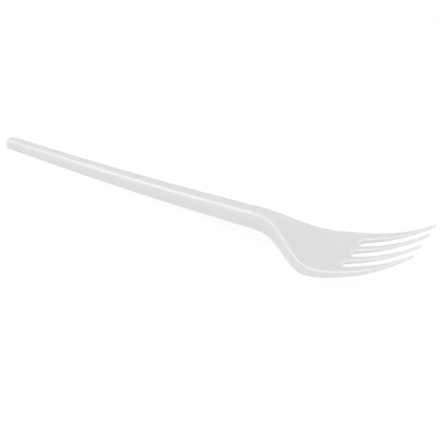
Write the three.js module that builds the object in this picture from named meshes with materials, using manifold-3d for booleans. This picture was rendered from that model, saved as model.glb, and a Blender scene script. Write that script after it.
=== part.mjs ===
import * as THREE from "three";
import { mergeVertices } from "three/addons/utils/BufferGeometryUtils.js";
import Module from "manifold-3d";

// A one-piece moulded plastic fork, in millimetres, lying with its tines turned up. A station is the
// distance from the handle's end along X, Y is across and Z is up.

const forkLength = 165;
const draftAngle = THREE.MathUtils.degToRad(5);
const wallThickness = 0.9;
const deckThickness = 1.3;

const handle = {
  endHalfWidth: 2.02,
  neckHalfWidth: 2.54,
  endRounding: 1.9,
  endHeight: 3.31,
  slope: 0.0286,
  straightLength: 26,
  bendRadius: 1780,
  endDrop: 3.39,
  neckDrop: 5.31,
  edgeRadius: 1.0,
  endEdgeRadius: 1.6,
  endEdgeLength: 5,
};

const neck = {
  flareStart: 113.5,
  flareLength: 29.6,
  dipStart: 112,
  dipLength: 27.6,
  rimFadeStart: 114.8,
  rimFadeLength: 37.2,
};

const bowl = {
  lowStation: 128.2,
  lowHeight: 2.65,
  radius: 54.3,
  halfWidth: 11.8,
  taperPower: 1.5,
  dishDepth: 0.5,
  dishStart: 114,
  dishLength: 17,
};

const slot = {
  rootStation: 146.9,
  rootRadius: 1.82,
  pitch: 6.08,
  edgeRadius: 0.55,
};

const tine = {
  tipHalfWidth: 0.47,
  innerTipOffset: 3.05,
  outerTipOffset: 8.64,
  tipThickness: 0.65,
  tipEdgeRadius: 0.27,
  rimHeight: 0.5,
  rimRun: 4.6,
  rimFade: 12,
  rimTipWidth: 0.25,
};

const ejectorMark = {
  radius: 1.0,
  depth: 0.2,
  handleStations: [24, 56, 88],
  bowlStation: 132,
  bowlOffset: 5.5,
};

// How finely the curved surfaces are divided. A remainder shorter than the stretch allows joins the
// step before it.
const handleStep = 8;
const headStep = 1.8;
const stepStretch = 1.4;
const deckColumns = 8;
const filletSteps = 3;
const arcSteps = 5;
const discSides = 20;

// How far the cutting solids reach past the fork, and how far an edge's last chord runs on.
const clearance = 3;
const edgeRunOn = 0.4;
const leastRounding = 0.3;
const samePoint = 1e-5;

// The most of the rounding at the handle's end that the edge over it may take.
const edgeShare = 0.84;

const mix = (from, to, share) => from + (to - from) * share;
const share = (station, start, length) => THREE.MathUtils.clamp((station - start) / length, 0, 1);
const blend = (station, start, length) => THREE.MathUtils.smootherstep(station, start, start + length);

function halfWidthAt(station) {
  const handleWidth = mix(handle.endHalfWidth, handle.neckHalfWidth, share(station, 0, neck.flareStart));
  const flareEnd = neck.flareStart + neck.flareLength;
  const tipWidth = tine.outerTipOffset + tine.tipHalfWidth;
  const taper = share(station, flareEnd, forkLength - flareEnd) ** bowl.taperPower;
  const headWidth = mix(bowl.halfWidth, tipWidth, taper);
  return mix(handleWidth, headWidth, blend(station, neck.flareStart, neck.flareLength));
}

function centreLineAt(station) {
  const bent = Math.max(station - handle.straightLength, 0);
  const handleLine = handle.endHeight + handle.slope * station + bent ** 2 / (2 * handle.bendRadius);
  const run = station - bowl.lowStation;
  const bowlArc = bowl.lowHeight + bowl.radius - Math.sqrt(Math.max(bowl.radius ** 2 - run ** 2, 0));
  return mix(handleLine, bowlArc, blend(station, neck.dipStart, neck.dipLength));
}

function topAt(station, y) {
  const rise = blend(station, bowl.dishStart, bowl.dishLength);
  const fall = share(station, slot.rootStation, forkLength - slot.rootStation);
  const across = Math.min(Math.abs(y) / halfWidthAt(station), 1);
  return centreLineAt(station) - bowl.dishDepth * rise * (1 - fall) * (1 - across ** 2);
}

function thicknessAt(station) {
  const along = share(station, slot.rootStation, forkLength - slot.rootStation);
  return mix(deckThickness, tine.tipThickness, along);
}

// The depth of the outer wall under the deck's top, from the handle's channel to the rim on the tines.
function dropAt(station) {
  const channel = mix(handle.endDrop, handle.neckDrop, share(station, 0, neck.dipStart));
  const left = 1 - share(station, slot.rootStation + tine.rimRun, tine.rimFade);
  const rim = thicknessAt(station) + tine.rimHeight * left;
  return mix(channel, rim, blend(station, neck.rimFadeStart, neck.rimFadeLength));
}

// How wide the foot of the outer wall is: a full wall up to the slots, then less along the tines.
function wallAt(station) {
  const along = share(station, slot.rootStation, forkLength - slot.rootStation);
  return mix(wallThickness, tine.rimTipWidth, along);
}

function stationsBetween(start, end) {
  const stations = [start];
  while (stations.at(-1) < end - samePoint) {
    const last = stations.at(-1);
    const step = last < neck.dipStart - handleStep ? handleStep : headStep;
    stations.push(last + step * stepStretch > end ? end : last + step);
  }
  return stations;
}

function solidFrom(positions, indices) {
  const closed = new THREE.BufferGeometry();
  closed.setAttribute("position", new THREE.Float32BufferAttribute(positions, 3));
  closed.setIndex(indices);
  return geometrySolid(closed);
}

function geometrySolid(source) {
  const bare = source.clone();
  bare.deleteAttribute("normal");
  bare.deleteAttribute("uv");
  const merged = mergeVertices(bare, samePoint);
  const mesh = new wasm.Mesh({
    numProp: 3,
    vertProperties: new Float32Array(merged.attributes.position.array),
    triVerts: new Uint32Array(merged.index.array),
  });
  return new wasm.Manifold(mesh);
}

// A closed block between two surfaces, wider than the fork by the clearance on both sides.
function blockBetween(start, end, upperAt, lowerAt) {
  const stations = stationsBetween(start, end);
  const positions = [];
  for (const surfaceAt of [upperAt, lowerAt]) {
    for (const station of stations) {
      const reach = halfWidthAt(station) + clearance;
      for (let column = 0; column <= deckColumns; column++) {
        const y = reach * ((2 * column) / deckColumns - 1);
        positions.push(station, y, surfaceAt(station, y));
      }
    }
  }
  const perRow = deckColumns + 1;
  const perSurface = stations.length * perRow;
  const indices = [];
  const quad = (a, b, c, d) => indices.push(a, b, c, a, c, d);
  for (let row = 0; row + 1 < stations.length; row++) {
    for (let column = 0; column < deckColumns; column++) {
      const corner = row * perRow + column;
      quad(corner, corner + perRow, corner + perRow + 1, corner + 1);
      const below = corner + perSurface;
      quad(below, below + 1, below + perRow + 1, below + perRow);
    }
    const left = row * perRow;
    quad(left, left + perSurface, left + perSurface + perRow, left + perRow);
    const right = left + deckColumns;
    quad(right, right + perRow, right + perSurface + perRow, right + perSurface);
  }
  const lastRow = perSurface - perRow;
  for (let column = 0; column < deckColumns; column++) {
    quad(column, column + 1, column + 1 + perSurface, column + perSurface);
    const far = lastRow + column;
    quad(far, far + perSurface, far + 1 + perSurface, far + 1);
  }
  return solidFrom(positions, indices);
}

// Adds points on the long sides of an outline, so that a wall swept along it can follow the deck.
function subdivided(points) {
  const result = [];
  points.forEach((point, index) => {
    const next = points[(index + 1) % points.length];
    const step = Math.max(point.x, next.x) < neck.dipStart ? handleStep : headStep;
    const pieces = Math.max(1, Math.round(point.distanceTo(next) / step));
    for (let piece = 0; piece < pieces; piece++) {
      result.push(point.clone().lerp(next, piece / pieces));
    }
  });
  return result;
}

// Each outline is walked with its inside on the left, and a positive outset moves it outwards.
function offsetDirections(points) {
  return points.map((point, index) => {
    const previous = points[(index + points.length - 1) % points.length];
    const next = points[(index + 1) % points.length];
    const before = point.clone().sub(previous).normalize();
    const after = next.clone().sub(point).normalize();
    const sum = new THREE.Vector2(before.y + after.y, -before.x - after.x);
    return sum.divideScalar(1 + before.dot(after));
  });
}

// Sweeps a wall round an outline. The profile lists an outset and a height over the surface, upwards,
// and the wall goes on straight to a flat floor under the fork and a flat ceiling over it.
function sweptWall(outline, surfaceAt, profileAt) {
  const points = subdivided(outline);
  const directions = offsetDirections(points);
  const floor = -clearance;
  const ceiling = centreLineAt(forkLength) + clearance;
  const rings = points.map((point, index) => {
    const ring = profileAt(point.x).map(([outset, height]) => {
      const x = point.x + directions[index].x * outset;
      const y = point.y + directions[index].y * outset;
      return [x, y, surfaceAt(x, y) + height];
    });
    const [lowest, highest] = [ring[0], ring.at(-1)];
    return [[lowest[0], lowest[1], floor], ...ring, [highest[0], highest[1], ceiling]];
  });
  const count = points.length;
  const levels = rings[0].length;
  const positions = [];
  for (let level = 0; level < levels; level++) {
    for (const ring of rings) positions.push(...ring[level]);
  }
  const indices = [];
  for (let level = 0; level + 1 < levels; level++) {
    for (let index = 0; index < count; index++) {
      const next = (index + 1) % count;
      const [a, b] = [level * count + index, level * count + next];
      indices.push(a, b, b + count, a, b + count, a + count);
    }
  }
  const levelOutline = (level) => rings.map((ring) => new THREE.Vector2(ring[level][0], ring[level][1]));
  const topStart = (levels - 1) * count;
  for (const [a, b, c] of THREE.ShapeUtils.triangulateShape(levelOutline(0), [])) {
    indices.push(c, b, a);
  }
  for (const [a, b, c] of THREE.ShapeUtils.triangulateShape(levelOutline(levels - 1), [])) {
    indices.push(a + topStart, b + topStart, c + topStart);
  }
  return solidFrom(positions, indices);
}

// A drafted wall that turns into the deck through a rounded edge. The last chord runs on a little, so
// that it leaves the deck at a clear angle.
function edgeProfile(radius, depth, side) {
  const inset = (radius * (1 - Math.sin(draftAngle))) / Math.cos(draftAngle);
  const profile = [[side * depth * Math.tan(draftAngle), -depth]];
  for (let step = 0; step <= filletSteps; step++) {
    const angle = mix(draftAngle, Math.PI / 2, step / filletSteps);
    profile.push([side * (radius * Math.cos(angle) - inset), radius * Math.sin(angle) - radius]);
  }
  const [beforeLast, last] = profile.slice(-2);
  profile.push([mix(last[0], beforeLast[0], -edgeRunOn), mix(last[1], beforeLast[1], -edgeRunOn)]);
  return profile;
}

// Plain points of an outline, with the doubled ones at the joints left out.
function pathPoints(path) {
  const all = path.getPoints(arcSteps);
  return all.filter((point, index) => !index || point.distanceTo(all[index - 1]) > samePoint);
}

// The outline of the handle and head in plan, without the slots, drawn in from the edge by an inset.
function forkOutline(insetAt, tipStation, roundTips) {
  const inset = insetAt(0);
  const width = (station) => halfWidthAt(station) - insetAt(station);
  const rounding = Math.max(Math.min(handle.endRounding, handle.endHalfWidth) - inset, leastRounding);
  const endSide = width(inset + rounding);
  const path = new THREE.Path();
  path.moveTo(inset, 0);
  path.lineTo(inset, rounding - endSide);
  path.absarc(inset + rounding, rounding - endSide, rounding, Math.PI, 1.5 * Math.PI);
  const noseStation = tipStation - (roundTips ? tine.tipHalfWidth : 0);
  for (const station of stationsBetween(inset + rounding, noseStation).slice(1)) {
    path.lineTo(station, -width(station));
  }
  if (roundTips) {
    path.absarc(noseStation, -tine.outerTipOffset, tine.tipHalfWidth, 1.5 * Math.PI, 2 * Math.PI);
  }
  const half = pathPoints(path);
  const mirrored = half.slice(1).reverse().map((point) => new THREE.Vector2(point.x, -point.y));
  return [...half, ...mirrored];
}

// The top edge is rounded most round the handle's end and least at the tips.
function rimRadiusAt(station) {
  const endRadius = Math.min(handle.endEdgeRadius, edgeShare * handle.endRounding, edgeShare * handle.endHalfWidth);
  const handleRadius = mix(endRadius, handle.edgeRadius, blend(station, 0, handle.endEdgeLength));
  const onTines = share(station, slot.rootStation, forkLength - slot.rootStation);
  return mix(handleRadius, tine.tipEdgeRadius, onTines);
}

function forkBody() {
  const slab = blockBetween(-clearance, forkLength + clearance, topAt, (x, y) => topAt(x, y) - dropAt(x));
  const skirt = sweptWall(forkOutline(() => 0, forkLength, true), topAt, (station) =>
    edgeProfile(rimRadiusAt(station), dropAt(station) + clearance, 1),
  );
  return slab.intersect(skirt);
}

// The open underside: a channel in the handle that widens under the bowl and fades on the tines.
function underside() {
  const rimEnd = slot.rootStation + tine.rimRun + tine.rimFade;
  const roofAt = (x, y) => topAt(x, y) - thicknessAt(x);
  const depthAt = (station) => dropAt(station) + clearance;
  const block = blockBetween(-clearance, rimEnd, roofAt, (x, y) => roofAt(x, y) - depthAt(x));
  const wall = sweptWall(forkOutline(wallAt, rimEnd + clearance, false), roofAt, (station) => [
    [depthAt(station) * Math.tan(draftAngle), -depthAt(station)],
    [0, 0],
  ]);
  return block.intersect(wall);
}

// A slot is bounded by its round root and by the round noses of the tines on its two sides. Its
// straight sides touch both: they pass the root on one side and the nose on the other.
function slotCutter(rootOffset, rightTip, leftTip) {
  const noseStation = forkLength - tine.tipHalfWidth;
  const farStation = forkLength + clearance;
  const run = noseStation - slot.rootStation;
  const sideAngle = (tip) => {
    const reach = Math.asin((slot.rootRadius + tine.tipHalfWidth) / Math.hypot(run, tip - rootOffset));
    return Math.atan2(Math.abs(tip - rootOffset), run) - reach;
  };
  const [left, right] = [sideAngle(leftTip), sideAngle(rightTip)];
  const quarter = Math.PI / 2;
  const path = new THREE.Path();
  path.moveTo(farStation, leftTip);
  path.absarc(noseStation, leftTip, tine.tipHalfWidth, 0, left - quarter, true);
  path.absarc(slot.rootStation, rootOffset, slot.rootRadius, quarter + left, 3 * quarter - right);
  path.absarc(noseStation, rightTip, tine.tipHalfWidth, quarter - right, 0, true);
  path.lineTo(farStation, rightTip);
  return sweptWall(pathPoints(path), topAt, (station) => {
    const along = share(station, slot.rootStation, forkLength - slot.rootStation);
    return edgeProfile(mix(slot.edgeRadius, tine.tipEdgeRadius, along), thicknessAt(station) + clearance, -1);
  });
}

function slotCutters() {
  const { innerTipOffset, outerTipOffset } = tine;
  return [
    slotCutter(0, -innerTipOffset, innerTipOffset),
    slotCutter(slot.pitch, innerTipOffset, outerTipOffset),
    slotCutter(-slot.pitch, -outerTipOffset, -innerTipOffset),
  ];
}

function ejectorMarks() {
  const places = ejectorMark.handleStations.map((station) => [station, 0]);
  places.push([ejectorMark.bowlStation, -ejectorMark.bowlOffset], [ejectorMark.bowlStation, ejectorMark.bowlOffset]);
  return places.map(([station, y]) => {
    const roof = topAt(station, y) - thicknessAt(station);
    const disc = new THREE.CylinderGeometry(ejectorMark.radius, ejectorMark.radius, clearance, discSides);
    disc.rotateX(Math.PI / 2);
    disc.translate(station, y, roof + ejectorMark.depth - clearance / 2);
    return geometrySolid(disc);
  });
}

const wasm = await Module();
wasm.setup();

const cuts = [underside(), ...slotCutters(), ...ejectorMarks()];
const solid = cuts.reduce((body, cut) => body.subtract(cut), forkBody());
const { vertProperties, triVerts } = solid.getMesh();
const geometry = new THREE.BufferGeometry();
geometry.setAttribute("position", new THREE.Float32BufferAttribute(vertProperties, 3));
geometry.setIndex(new THREE.Uint32BufferAttribute(triVerts, 1));
geometry.computeBoundingBox();
const { min, max } = geometry.boundingBox;
geometry.translate(-(min.x + max.x) / 2, 0, -min.z);
geometry.computeVertexNormals();

const plastic = new THREE.MeshStandardMaterial({ color: 0xeeeeec, roughness: 0.35, metalness: 0 });
const fork = new THREE.Mesh(geometry, plastic);
fork.name = "fork";

const part = new THREE.Group();
part.add(fork);

export default part;
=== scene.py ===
import bpy
import math
import numpy as np
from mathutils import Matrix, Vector, geometry


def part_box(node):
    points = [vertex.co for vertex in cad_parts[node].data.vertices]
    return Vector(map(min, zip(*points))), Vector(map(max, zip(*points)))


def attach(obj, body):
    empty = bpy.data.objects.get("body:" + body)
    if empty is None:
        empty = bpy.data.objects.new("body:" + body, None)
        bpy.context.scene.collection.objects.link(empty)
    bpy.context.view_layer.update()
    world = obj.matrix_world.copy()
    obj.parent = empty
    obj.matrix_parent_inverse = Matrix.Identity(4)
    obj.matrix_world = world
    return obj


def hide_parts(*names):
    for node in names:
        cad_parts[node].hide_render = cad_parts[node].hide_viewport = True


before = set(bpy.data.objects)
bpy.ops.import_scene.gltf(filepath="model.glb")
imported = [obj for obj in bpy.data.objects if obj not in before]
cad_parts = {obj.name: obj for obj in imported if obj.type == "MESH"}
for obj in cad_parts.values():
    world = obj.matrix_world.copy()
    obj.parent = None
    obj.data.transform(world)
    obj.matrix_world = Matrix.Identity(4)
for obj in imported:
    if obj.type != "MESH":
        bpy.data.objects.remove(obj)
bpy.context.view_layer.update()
mm = 0.001

# The fork's own sizes in millimetres. A station is the distance from the handle's end.
forkSizes = {
    "length": 165.0,
    "draft": 5.0,             # degrees that every upright wall leans outwards, going down
    "wall": 0.9,
    "deckThickness": 1.3,
    "endHalfWidth": 2.02,     # handle
    "neckHalfWidth": 2.54,
    "endRounding": 1.9,
    "endHeight": 3.31,
    "slope": 0.0286,
    "straightLength": 26.0,
    "bendRadius": 1780.0,
    "endDrop": 3.39,
    "neckDrop": 5.31,
    "flareStart": 113.5,      # neck
    "flareLength": 29.6,
    "dipStart": 112.0,
    "dipLength": 27.6,
    "rimFadeStart": 114.8,
    "rimFadeLength": 37.2,
    "lowStation": 128.2,      # bowl
    "lowHeight": 2.65,
    "bowlRadius": 54.3,
    "bowlHalfWidth": 11.8,
    "taperPower": 1.5,
    "dishDepth": 0.5,
    "dishStart": 114.0,
    "dishLength": 17.0,
    "rootStation": 146.9,     # slots
    "rootRadius": 1.82,
    "slotPitch": 6.08,
    "tipHalfWidth": 0.47,     # tines
    "innerTipOffset": 3.05,
    "outerTipOffset": 8.64,
    "tipThickness": 0.65,
    "rimHeight": 0.5,
    "rimRun": 4.6,
    "rimFade": 12.0,
    "tipLand": 0.25,
}

# Radii of the rounded edges in millimetres, and where along the fork they change.
edgeSizes = {
    "handle": 1.0,
    "handleEnd": 1.6,
    "handleEndLength": 5.0,
    "bowl": 0.5,
    "bowlStart": 113.5,
    "bowlLength": 27.6,
    "slot": 0.55,
    "tip": 0.27,
    "foot": 0.12,             # the small round at the foot of every wall
    "roof": 0.35,             # where the wall meets the underside of the deck
    "mostOfLip": 0.9,         # how much of a low wall the roof's round may take
}

# How finely the mesh is divided: spacings in millimetres, and steps along each round.
meshSizes = {
    "handleStep": 0.9,
    "headStep": 0.45,
    "headLead": 4.0,          # the finer steps begin this far before the neck
    "shortestStep": 0.3,
    "endSteps": 14,
    "noseSteps": 14,
    "rootSteps": 24,
    "edgeSteps": 7,
    "footSteps": 3,
    "roofSteps": 3,
    "fillSpacing": 0.8,
    "fillRowShare": 0.87,
    "fillMargin": 0.45,
}


def mix(start, end, part):
    return start + (end - start) * part


def share(value, start, length):
    return min(max((value - start) / length, 0.0), 1.0)


def blend(value, start, length):
    u = share(value, start, length)
    return u ** 3 * (u * (6 * u - 15) + 10)


def alongTines(x):
    return share(x, forkSizes["rootStation"], forkSizes["length"] - forkSizes["rootStation"])


def halfWidthAt(x):
    s = forkSizes
    handleWidth = mix(s["endHalfWidth"], s["neckHalfWidth"], share(x, 0, s["flareStart"]))
    flareEnd = s["flareStart"] + s["flareLength"]
    taper = share(x, flareEnd, s["length"] - flareEnd) ** s["taperPower"]
    headWidth = mix(s["bowlHalfWidth"], s["outerTipOffset"] + s["tipHalfWidth"], taper)
    return mix(handleWidth, headWidth, blend(x, s["flareStart"], s["flareLength"]))


def centreLineAt(x):
    s = forkSizes
    bent = max(x - s["straightLength"], 0)
    handleLine = s["endHeight"] + s["slope"] * x + bent ** 2 / (2 * s["bendRadius"])
    run = x - s["lowStation"]
    bowlArc = s["lowHeight"] + s["bowlRadius"] - math.sqrt(max(s["bowlRadius"] ** 2 - run ** 2, 0))
    return mix(handleLine, bowlArc, blend(x, s["dipStart"], s["dipLength"]))


def deckTopAt(x, y):
    rise = blend(x, forkSizes["dishStart"], forkSizes["dishLength"])
    across = min(abs(y) / halfWidthAt(x), 1)
    return centreLineAt(x) - forkSizes["dishDepth"] * rise * (1 - alongTines(x)) * (1 - across ** 2)


def thicknessAt(x):
    return mix(forkSizes["deckThickness"], forkSizes["tipThickness"], alongTines(x))


def deckUndersideAt(x, y):
    return deckTopAt(x, y) - thicknessAt(x)


def dropAt(x):
    # depth of the outer wall under the deck's top
    s = forkSizes
    channel = mix(s["endDrop"], s["neckDrop"], share(x, 0, s["dipStart"]))
    left = 1 - share(x, s["rootStation"] + s["rimRun"], s["rimFade"])
    rim = thicknessAt(x) + s["rimHeight"] * left
    return mix(channel, rim, blend(x, s["rimFadeStart"], s["rimFadeLength"]))


def edgeRadiusAt(x, onRim):
    # the top edge is roundest round the handle's end and least at the tips
    e = edgeSizes
    handleRadius = mix(e["handleEnd"], e["handle"], blend(x, 0, e["handleEndLength"]))
    rimRadius = mix(handleRadius, e["bowl"], blend(x, e["bowlStart"], e["bowlLength"]))
    return mix(rimRadius if onRim else e["slot"], e["tip"], alongTines(x))


def onCircle(centre, radius, angle):
    return (centre[0] + radius * math.cos(angle), centre[1] + radius * math.sin(angle))


def arcPoints(centre, radius, startAngle, endAngle, pieces):
    return [onCircle(centre, radius, mix(startAngle, endAngle, i / pieces)) for i in range(pieces + 1)]


def straightPoints(start, end, step):
    pieces = max(1, round(math.dist(start, end) / step))
    shares = [i / pieces for i in range(1, pieces)]
    return [(mix(start[0], end[0], part), mix(start[1], end[1], part)) for part in shares]


def crossTangentAngle(start, end, reach, turn):
    # direction of the line that passes one round end on its right and the other on its left
    dx, dy = end[0] - start[0], end[1] - start[1]
    return math.atan2(dy, dx) + turn * math.asin(reach / math.hypot(dx, dy))


def rimHalf():
    # the right-hand rim in plan, from the middle of the handle's end to the outer tine's nose
    s, m = forkSizes, meshSizes
    rounding = s["endRounding"]
    corner = (rounding, rounding - halfWidthAt(rounding))
    noseStation = s["length"] - s["tipHalfWidth"]
    points = [(0.0, 0.0)] + arcPoints(corner, rounding, math.pi, 1.5 * math.pi, m["endSteps"])
    x = rounding
    while x < noseStation - m["shortestStep"]:
        x += m["handleStep"] if x < s["dipStart"] - m["headLead"] else m["headStep"]
        points.append((min(x, noseStation), -halfWidthAt(min(x, noseStation))))
    return points


def tinesHalf():
    # round the outer nose, the side slot's root, the inner nose and half of the middle slot's root
    s, m = forkSizes, meshSizes
    tip, root = s["tipHalfWidth"], s["rootRadius"]
    noseStation = s["length"] - tip
    outerNose, innerNose = (noseStation, -s["outerTipOffset"]), (noseStation, -s["innerTipOffset"])
    sideRoot, middleRoot = (s["rootStation"], -s["slotPitch"]), (s["rootStation"], 0.0)
    quarter = math.pi / 2
    taperRun = 0.5
    points = []
    heading = math.atan2(halfWidthAt(noseStation - taperRun) - halfWidthAt(noseStation), taperRun)
    for nose, slotRoot in ((outerNose, sideRoot), (innerNose, middleRoot)):
        inward = crossTangentAngle(nose, slotRoot, tip + root, 1)
        points += arcPoints(nose, tip, heading - quarter, inward - quarter, m["noseSteps"])
        points += straightPoints(points[-1], onCircle(slotRoot, root, inward + quarter), m["headStep"])
        if slotRoot == middleRoot:
            return points + arcPoints(slotRoot, root, inward + quarter, math.pi, m["rootSteps"] // 2)
        heading = crossTangentAngle(slotRoot, innerNose, tip + root, -1)
        points += arcPoints(slotRoot, root, inward + quarter, heading + quarter, m["rootSteps"])
        points += straightPoints(points[-1], onCircle(innerNose, tip, heading - quarter), m["headStep"])


def planOutline():
    # one closed loop round the handle, the bowl and every tine, anticlockwise, with a note of
    # which points lie on the outer rim and which on a slot
    half = [(x, y, True) for x, y in rimHalf()] + [(x, y, False) for x, y in tinesHalf()]
    return half + [(x, -y, onRim) for x, y, onRim in reversed(half[1:-1])]


def outwardDirections(points):
    directions = []
    for i in range(len(points)):
        before = Vector(points[i][:2]) - Vector(points[i - 1][:2])
        after = Vector(points[(i + 1) % len(points)][:2]) - Vector(points[i][:2])
        before.normalize()
        after.normalize()
        side = Vector((before.y + after.y, -before.x - after.x))
        directions.append(side / (1 + before.dot(after)))
    return directions


def edgeProfile(x, onRim):
    # offsets outwards and heights over the deck, from the deck's edge down the wall, round its foot
    # and up the inside to the underside of the deck
    draft = math.radians(forkSizes["draft"])
    radius = edgeRadiusAt(x, onRim)
    thickness = thicknessAt(x)
    depth = dropAt(x) if onRim else thickness
    land = mix(forkSizes["wall"], forkSizes["tipLand"], alongTines(x)) if onRim else forkSizes["tipLand"]
    lip = depth - thickness
    foot = edgeSizes["foot"]
    roof = min(edgeSizes["roof"], lip * edgeSizes["mostOfLip"])

    edgeCentre = (radius * math.tan(draft) - radius / math.cos(draft), -radius)
    footCentre = ((depth - foot) * math.tan(draft) - foot / math.cos(draft), foot - depth)
    roofCentre = (roof * math.tan(draft) - land - roof / math.cos(draft), -roof - thickness)
    profile = arcPoints(edgeCentre, radius, math.pi / 2, draft, meshSizes["edgeSteps"])
    profile += arcPoints(footCentre, foot, draft, -math.pi / 2, meshSizes["footSteps"])
    profile.append((lip * math.tan(draft) - land, -depth))
    return profile + arcPoints(roofCentre, roof, draft, math.pi / 2, meshSizes["roofSteps"])


def gridInside(ring, spacing):
    # points on a staggered grid inside a closed loop, clear of its edge
    low, high = ring.min(axis=0), ring.max(axis=0)
    rows = []
    for i, y in enumerate(np.arange(low[1], high[1], spacing * meshSizes["fillRowShare"])):
        xs = np.arange(low[0] + (i % 2) * spacing / 2, high[0], spacing)
        rows.append(np.stack([xs, np.full_like(xs, y)], axis=1))
    grid = np.concatenate(rows)
    inside = np.zeros(len(grid), dtype=bool)
    nearest = np.full(len(grid), np.inf)
    for a, b in zip(ring, np.roll(ring, -1, axis=0)):
        crosses = (a[1] > grid[:, 1]) != (b[1] > grid[:, 1])
        if crosses.any():
            at = a[0] + (grid[:, 1] - a[1]) * (b[0] - a[0]) / (b[1] - a[1])
            inside ^= crosses & (grid[:, 0] < at)
        run = b - a
        part = np.clip(((grid - a) @ run) / (run @ run), 0, 1)
        nearest = np.minimum(nearest, np.linalg.norm(grid - a - part[:, None] * run, axis=1))
    return grid[inside & (nearest > spacing * meshSizes["fillMargin"])]


def fillLoop(loop, spacing):
    # a triangle net over the loop's points and a grid of points inside it
    flat = [Vector(p) for p in loop] + [Vector(p) for p in gridInside(np.array(loop), spacing).tolist()]
    result = geometry.delaunay_2d_cdt(flat, [], [list(range(len(loop)))], 1, 1e-7, True)
    triangles, pointSources, faceSources = result[2], result[3], result[5]
    kept = [t for t, source in zip(triangles, faceSources) if source]
    return [(p.x, p.y) for p in flat], [[pointSources[i][0] for i in t] for t in kept]


def buildForkMesh():
    outline = planOutline()
    directions = outwardDirections(outline)
    profiles = [edgeProfile(x, onRim) for x, y, onRim in outline]
    count, levels = len(outline), len(profiles[0])
    vertices, faces, rings = [], [], []
    for level in range(levels):
        ring = []
        for (x, y, _), direction, profile in zip(outline, directions, profiles):
            offset, height = profile[level]
            px, py = x + direction.x * offset, y + direction.y * offset
            ring.append((px, py))
            vertices.append((px, py, deckTopAt(px, py) + height * dropAt(px) / dropAt(x)))
        rings.append(ring)
    for level in range(levels - 1):
        for i in range(count):
            j = (i + 1) % count
            a, b = level * count, (level + 1) * count
            faces.append((a + i, b + i, b + j, a + j))
    lastRing = (levels - 1) * count
    for ringStart, ring, heightAt, flip in (
        (0, rings[0], deckTopAt, False),
        (lastRing, rings[-1], deckUndersideAt, True),
    ):
        flat, triangles = fillLoop(ring, meshSizes["fillSpacing"])
        start = len(vertices)
        vertices += [(x, y, heightAt(x, y)) for x, y in flat[count:]]
        for triangle in triangles:
            corners = [ringStart + i if i < count else start + i - count for i in triangle]
            faces.append(tuple(reversed(corners)) if flip else tuple(corners))
    mesh = bpy.data.meshes.new("forkMoulding")
    mesh.from_pydata(vertices, [], faces)
    return mesh


def placeOnFrame(mesh):
    # the mesh is drawn in millimetres from the handle's end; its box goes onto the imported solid's box
    low, high = [Vector(corner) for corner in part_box("fork")]
    xs = [v.co.x for v in mesh.vertices]
    zs = [v.co.z for v in mesh.vertices]
    middle, lowest = (min(xs) + max(xs)) / 2, min(zs)
    squeeze = min(1, (high.z - low.z) / ((max(zs) - lowest) * mm))
    for v in mesh.vertices:
        v.co = Vector((
            (v.co.x - middle) * mm + (low.x + high.x) / 2,
            v.co.y * mm,
            (v.co.z - lowest) * mm * squeeze + low.z,
        ))
    return middle, lowest


def addSocket(tree, name, kind, value=None, out=False):
    socket = tree.interface.new_socket(name, in_out="OUTPUT" if out else "INPUT", socket_type=kind)
    if value is not None:
        socket.default_value = value
    return socket


def link(tree, start, end):
    tree.links.new(start, end)


def addNode(tree, kind, x, y):
    node = tree.nodes.new(kind)
    node.location = (x, y)
    return node


# Finishes

# Scales of the three patterns, depths of the two bumps in metres, and which part of the cloud
# pattern the colour and the gloss run over.
polymerSizes = {
    "cloudScale": 240.0,
    "rippleScale": 55.0,
    "grainScale": 5200.0,
    "rippleDepth": 0.0004,
    "grainDepth": 0.000004,
    "cloudRange": (0.3, 0.7),
    "glossRange": (0.35, 0.65),
    "cloudTone": (0.45, 0.45, 0.46, 1),
}


def addNoise(tree, name, scale, detail, x, y):
    node = addNode(tree, "ShaderNodeTexNoise", x, y)
    node.name = name
    node.inputs["Scale"].default_value = scale
    node.inputs["Detail"].default_value = detail
    return node


def addRange(tree, start, end, x, y):
    node = addNode(tree, "ShaderNodeMapRange", x, y)
    node.inputs["From Min"].default_value = start
    node.inputs["From Max"].default_value = end
    return node


def addBump(tree, depth, x, y):
    node = addNode(tree, "ShaderNodeBump", x, y)
    node.inputs["Distance"].default_value = depth
    return node


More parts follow.
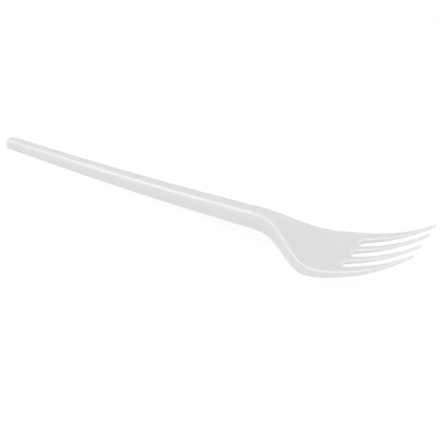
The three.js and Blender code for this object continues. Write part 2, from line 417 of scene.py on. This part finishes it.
def mouldedPolymerGroup():
    # a moulded surface: faint flow clouds in the colour, uneven gloss and a very shallow ripple
    sizes = polymerSizes
    group = bpy.data.node_groups.new("mouldedPolymer", "ShaderNodeTree")
    addSocket(group, "Tint", "NodeSocketColor", (0.8, 0.8, 0.79, 1))
    addSocket(group, "Cloud Depth", "NodeSocketFloat", 0.02)
    addSocket(group, "Gloss Low", "NodeSocketFloat", 0.25)
    addSocket(group, "Gloss High", "NodeSocketFloat", 0.4)
    addSocket(group, "Ripple", "NodeSocketFloat", 0.1)
    addSocket(group, "Color", "NodeSocketColor", out=True)
    addSocket(group, "Roughness", "NodeSocketFloat", out=True)
    addSocket(group, "Normal", "NodeSocketVector", out=True)
    given = addNode(group, "NodeGroupInput", -900, 0)
    result = addNode(group, "NodeGroupOutput", 700, 0)
    place = addNode(group, "ShaderNodeTexCoord", -900, -300)

    cloud = addNoise(group, "flowClouds", sizes["cloudScale"], 3, -650, 150)
    ripple = addNoise(group, "sinkRipple", sizes["rippleScale"], 1, -650, -150)
    grain = addNoise(group, "fineGrain", sizes["grainScale"], 2, -650, -450)
    for pattern in (cloud, ripple, grain):
        link(group, place.outputs["Object"], pattern.inputs["Vector"])

    spread = addRange(group, *sizes["cloudRange"], -420, 250)
    darker = addNode(group, "ShaderNodeMath", -200, 250)
    darker.operation = "MULTIPLY"
    tone = addNode(group, "ShaderNodeMix", 0, 250)
    tone.data_type = "RGBA"
    tone.inputs["B"].default_value = sizes["cloudTone"]
    link(group, cloud.outputs["Fac"], spread.inputs["Value"])
    link(group, spread.outputs["Result"], darker.inputs[0])
    link(group, given.outputs["Cloud Depth"], darker.inputs[1])
    link(group, darker.outputs[0], tone.inputs["Factor"])
    link(group, given.outputs["Tint"], tone.inputs["A"])
    link(group, tone.outputs["Result"], result.inputs["Color"])

    gloss = addRange(group, *sizes["glossRange"], 0, 0)
    link(group, cloud.outputs["Fac"], gloss.inputs["Value"])
    link(group, given.outputs["Gloss Low"], gloss.inputs["To Min"])
    link(group, given.outputs["Gloss High"], gloss.inputs["To Max"])
    link(group, gloss.outputs["Result"], result.inputs["Roughness"])

    waves = addBump(group, sizes["rippleDepth"], 200, -150)
    skin = addBump(group, sizes["grainDepth"], 420, -250)
    link(group, given.outputs["Ripple"], waves.inputs["Strength"])
    link(group, ripple.outputs["Fac"], waves.inputs["Height"])
    link(group, given.outputs["Ripple"], skin.inputs["Strength"])
    link(group, grain.outputs["Fac"], skin.inputs["Height"])
    link(group, waves.outputs["Normal"], skin.inputs["Normal"])
    link(group, skin.outputs["Normal"], result.inputs["Normal"])
    return group


def polymerMaterial(name, group, values, settings):
    material = bpy.data.materials.new(name)
    material.use_nodes = True
    tree = material.node_tree
    shader = tree.nodes["Principled BSDF"]
    surface = addNode(tree, "ShaderNodeGroup", -300, 0)
    surface.node_tree = group
    for key, value in values.items():
        surface.inputs[key].default_value = value
    link(tree, surface.outputs["Color"], shader.inputs["Base Color"])
    link(tree, surface.outputs["Roughness"], shader.inputs["Roughness"])
    link(tree, surface.outputs["Normal"], shader.inputs["Normal"])
    for key, value in settings.items():
        shader.inputs[key].default_value = value
    return material


plasticSettings = {
    "IOR": 1.59,
    "Specular IOR Level": 0.7,
    "Subsurface Weight": 0.6,
    "Subsurface Radius": (1.0, 1.0, 0.95),
    "Subsurface Scale": 0.001,
}
whiteValues = {
    "Tint": (0.84, 0.84, 0.84, 1),
    "Cloud Depth": 0.006,
    "Gloss Low": 0.2,
    "Gloss High": 0.24,
    "Ripple": 0.04,
}
pinValues = {
    "Tint": (0.82, 0.82, 0.82, 1),
    "Cloud Depth": 0.03,
    "Gloss Low": 0.4,
    "Gloss High": 0.52,
    "Ripple": 0.08,
}

print("finishes: white moulded plastic")
polymer = mouldedPolymerGroup()
forkWhite = polymerMaterial("forkWhite", polymer, whiteValues, plasticSettings)
pinPrint = polymerMaterial("pinPrint", polymer, pinValues, plasticSettings)

# Round marks of the ejector pins, sunk into the underside, as stations and offsets in millimetres.
ejectorMarks = {
    "radius": 1.0,
    "depth": 0.2,
    "pinLength": 2.0,
    "places": [(24, 0), (56, 0), (88, 0), (132, -5.5), (132, 5.5)],
    "sides": 48,
}


def pinTree():
    # one short disc, a pin's end, at each point of the mesh that the tree is given
    tree = bpy.data.node_groups.new("ejectorPins", "GeometryNodeTree")
    addSocket(tree, "Geometry", "NodeSocketGeometry")
    addSocket(tree, "Radius", "NodeSocketFloat", 0.001)
    addSocket(tree, "Pin Length", "NodeSocketFloat", 0.001)
    addSocket(tree, "Sides", "NodeSocketInt", 24)
    addSocket(tree, "Print Finish", "NodeSocketMaterial")
    addSocket(tree, "Geometry", "NodeSocketGeometry", out=True)
    given = addNode(tree, "NodeGroupInput", -600, 0)
    disc = addNode(tree, "GeometryNodeMeshCylinder", -400, -150)
    spread = addNode(tree, "GeometryNodeInstanceOnPoints", -150, 0)
    real = addNode(tree, "GeometryNodeRealizeInstances", 50, 0)
    coat = addNode(tree, "GeometryNodeSetMaterial", 250, 0)
    result = addNode(tree, "NodeGroupOutput", 450, 0)
    link(tree, given.outputs["Radius"], disc.inputs["Radius"])
    link(tree, given.outputs["Pin Length"], disc.inputs["Depth"])
    link(tree, given.outputs["Sides"], disc.inputs["Vertices"])
    link(tree, given.outputs["Geometry"], spread.inputs["Points"])
    link(tree, disc.outputs["Mesh"], spread.inputs["Instance"])
    link(tree, spread.outputs["Instances"], real.inputs["Geometry"])
    link(tree, real.outputs["Geometry"], coat.inputs["Geometry"])
    link(tree, given.outputs["Print Finish"], coat.inputs["Material"])
    link(tree, coat.outputs["Geometry"], result.inputs["Geometry"])
    return tree


def setInput(modifier, name, value):
    for item in modifier.node_group.interface.items_tree:
        if item.item_type == "SOCKET" and item.in_out == "INPUT" and item.name == name:
            modifier[item.identifier] = value


def addPiece(name, mesh):
    piece = bpy.data.objects.new(name, mesh)
    bpy.context.scene.collection.objects.link(piece)
    return piece


def asPlainMesh(piece):
    # swaps a piece's mesh for what its modifiers make of it
    view = bpy.context.evaluated_depsgraph_get()
    view.update()
    made = bpy.data.meshes.new_from_object(piece.evaluated_get(view), depsgraph=view)
    piece.modifiers.clear()
    piece.data = made


def buildPins(middle, lowest):
    # the pins' ends as solid discs, each standing in the underside of the deck
    marks = ejectorMarks
    low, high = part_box("fork")
    points = []
    for station, offset in marks["places"]:
        pinTop = deckUndersideAt(station, offset) + marks["depth"]
        x = (station - middle) * mm + (low[0] + high[0]) / 2
        points.append((x, offset * mm, (pinTop - marks["pinLength"] / 2 - lowest) * mm))
    mesh = bpy.data.meshes.new("ejectorPins")
    mesh.from_pydata(points, [], [])
    pins = addPiece("ejectorPins", mesh)
    pinNodes = pins.modifiers.new("ejectorPins", "NODES")
    pinNodes.node_group = pinTree()
    setInput(pinNodes, "Radius", marks["radius"] * mm)
    setInput(pinNodes, "Pin Length", marks["pinLength"] * mm)
    setInput(pinNodes, "Sides", marks["sides"])
    setInput(pinNodes, "Print Finish", pinPrint)
    asPlainMesh(pins)
    return pins


def sinkMarks(fork, pins):
    sink = fork.modifiers.new("sinkMarks", "BOOLEAN")
    sink.operation = "DIFFERENCE"
    sink.solver = "EXACT"
    sink.material_mode = "TRANSFER"
    sink.object = pins
    asPlainMesh(fork)
    bpy.data.objects.remove(pins)


print("fork: building the moulding")
forkMesh = buildForkMesh()
middle, lowest = placeOnFrame(forkMesh)
forkMesh.materials.append(forkWhite)
fork = addPiece("forkMoulding", forkMesh)

print("fork: sinking the ejector marks")
sinkMarks(fork, buildPins(middle, lowest))

sharpAngle = 40  # degrees, past which an edge stays sharp
for face in fork.data.polygons:
    face.use_smooth = True
fork.data.set_sharp_from_angle(angle=math.radians(sharpAngle))
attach(fork, "root")
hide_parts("fork")
print("fork: mesh has", len(fork.data.vertices), "points and", len(fork.data.polygons), "faces")

# Floor, lights and camera
stageSizes = {
    "floorHalf": 2.5,
    "paleTone": 0.85,
    "floorRoughness": 0.9,
    "floorShine": 0.1,
    "whiteShare": 0.93,       # how much of the floor's look is plain white; the rest holds the shadow
    "whiteGlow": 1.02,
}


def addMath(tree, operation):
    node = tree.nodes.new("ShaderNodeMath")
    node.operation = operation
    return node


def floorMaterial():
    # a matt pale floor that looks white to the camera, in reflections and through clear pieces
    material = bpy.data.materials.new("paleFloor")
    material.use_nodes = True
    tree = material.node_tree
    matt = tree.nodes["Principled BSDF"]
    matt.inputs["Base Color"].default_value = (stageSizes["paleTone"],) * 3 + (1,)
    matt.inputs["Roughness"].default_value = stageSizes["floorRoughness"]
    matt.inputs["Specular IOR Level"].default_value = stageSizes["floorShine"]
    glow = tree.nodes.new("ShaderNodeEmission")
    glow.inputs["Color"].default_value = (1, 1, 1, 1)
    glow.inputs["Strength"].default_value = stageSizes["whiteGlow"]
    rays = tree.nodes.new("ShaderNodeLightPath")
    seen, seenThrough = addMath(tree, "MAXIMUM"), addMath(tree, "MAXIMUM")
    part = addMath(tree, "MULTIPLY")
    part.inputs[1].default_value = stageSizes["whiteShare"]
    choose = tree.nodes.new("ShaderNodeMixShader")
    link(tree, rays.outputs["Is Camera Ray"], seen.inputs[0])
    link(tree, rays.outputs["Is Glossy Ray"], seen.inputs[1])
    link(tree, seen.outputs[0], seenThrough.inputs[0])
    link(tree, rays.outputs["Is Transmission Ray"], seenThrough.inputs[1])
    link(tree, seenThrough.outputs[0], part.inputs[0])
    link(tree, part.outputs[0], choose.inputs["Fac"])
    link(tree, matt.outputs["BSDF"], choose.inputs[1])
    link(tree, glow.outputs["Emission"], choose.inputs[2])
    link(tree, choose.outputs["Shader"], tree.nodes["Material Output"].inputs["Surface"])
    return material


def buildFloor():
    half = stageSizes["floorHalf"]
    corners = [(-half, -half, 0), (half, -half, 0), (half, half, 0), (-half, half, 0)]
    mesh = bpy.data.meshes.new("paleFloor")
    mesh.from_pydata(corners, [], [(0, 1, 2, 3)])
    mesh.materials.append(floorMaterial())
    addPiece("paleFloor", mesh)


def buildWorld(strength):
    world = bpy.data.worlds.new("whiteRoom")
    bpy.context.scene.world = world
    world.use_nodes = True
    tree = world.node_tree
    plain = tree.nodes["Background"]
    plain.inputs["Color"].default_value = (1, 1, 1, 1)
    plain.inputs["Strength"].default_value = strength
    white = tree.nodes.new("ShaderNodeBackground")
    white.inputs["Color"].default_value = (1, 1, 1, 1)
    white.inputs["Strength"].default_value = 1.0
    rays = tree.nodes.new("ShaderNodeLightPath")
    choose = tree.nodes.new("ShaderNodeMixShader")
    link(tree, rays.outputs["Is Camera Ray"], choose.inputs["Fac"])
    link(tree, plain.outputs["Background"], choose.inputs[1])
    link(tree, white.outputs["Background"], choose.inputs[2])
    link(tree, choose.outputs["Shader"], tree.nodes["World Output"].inputs["Surface"])


# Soft boxes a metre away that all face the fork: height and direction in degrees, size in metres
# and power in watts. The direction is counted from +X towards +Y.
lightSettings = {
    "roomStrength": 0.49,
    "boxes": {
        "tipSide": (18, 0, (0.55, 0.45), 1.8),
        "rightFront": (42, 325, (0.42, 0.42), 1.4),
        "leftFront": (18, 240, (0.55, 0.45), 1.2),
        "overhead": (90, 0, (0.45, 0.45), 1.0),
        "endSide": (18, 180, (0.55, 0.45), 0.85),
        "leftBack": (42, 150, (0.42, 0.42), 0.6),
        "ridgeLow": (40, 200, (0.2, 0.2), 0.4),
        "ridgeHigh": (51, 202, (0.2, 0.26), 1.0),
    },
}


def addSoftbox(name, height, direction, size, power):
    up, turned = math.radians(height), math.radians(direction)
    place = Vector((math.cos(up) * math.cos(turned), math.cos(up) * math.sin(turned), math.sin(up)))
    lamp = bpy.data.lights.new(name, "AREA")
    lamp.shape = "RECTANGLE"
    lamp.size, lamp.size_y = size
    lamp.energy = power
    holder = bpy.data.objects.new(name, lamp)
    holder.location = place
    holder.rotation_euler = (-place).to_track_quat("-Z", "Y").to_euler()
    bpy.context.scene.collection.objects.link(holder)


print("stage: floor, lights and camera")
buildFloor()
buildWorld(lightSettings["roomStrength"])
for name, values in lightSettings["boxes"].items():
    addSoftbox(name, *values)

# The camera stands at the photograph's angle, found from the fork's own edges in it. Angles are in
# degrees, the lens and all lengths in millimetres.
cameraView = {
    "azimuth": 33.89,
    "elevation": 32.17,
    "distance": 209.3,
    "lookStation": 100.21,
    "lookHeight": 0.14,
    "lens": 53.2,
    "sensorWidth": 36.0,
    "nearest": 10.0,
}


def addCamera(view):
    azimuth, elevation = math.radians(view["azimuth"]), math.radians(view["elevation"])
    towards = Vector((
        math.cos(elevation) * math.sin(azimuth),
        -math.cos(elevation) * math.cos(azimuth),
        math.sin(elevation),
    ))
    target = Vector(((view["lookStation"] - middle) * mm, 0, (view["lookHeight"] - lowest) * mm))
    lensBox = bpy.data.cameras.new("photoCamera")
    lensBox.lens = view["lens"]
    lensBox.sensor_width = view["sensorWidth"]
    lensBox.clip_start = view["nearest"] * mm
    camera = bpy.data.objects.new("photoCamera", lensBox)
    camera.location = target + towards * view["distance"] * mm
    camera.rotation_euler = (-towards).to_track_quat("-Z", "Y").to_euler()
    bpy.context.scene.collection.objects.link(camera)
    bpy.context.scene.camera = camera


addCamera(cameraView)
bpy.context.scene.view_settings.view_transform = "Standard"
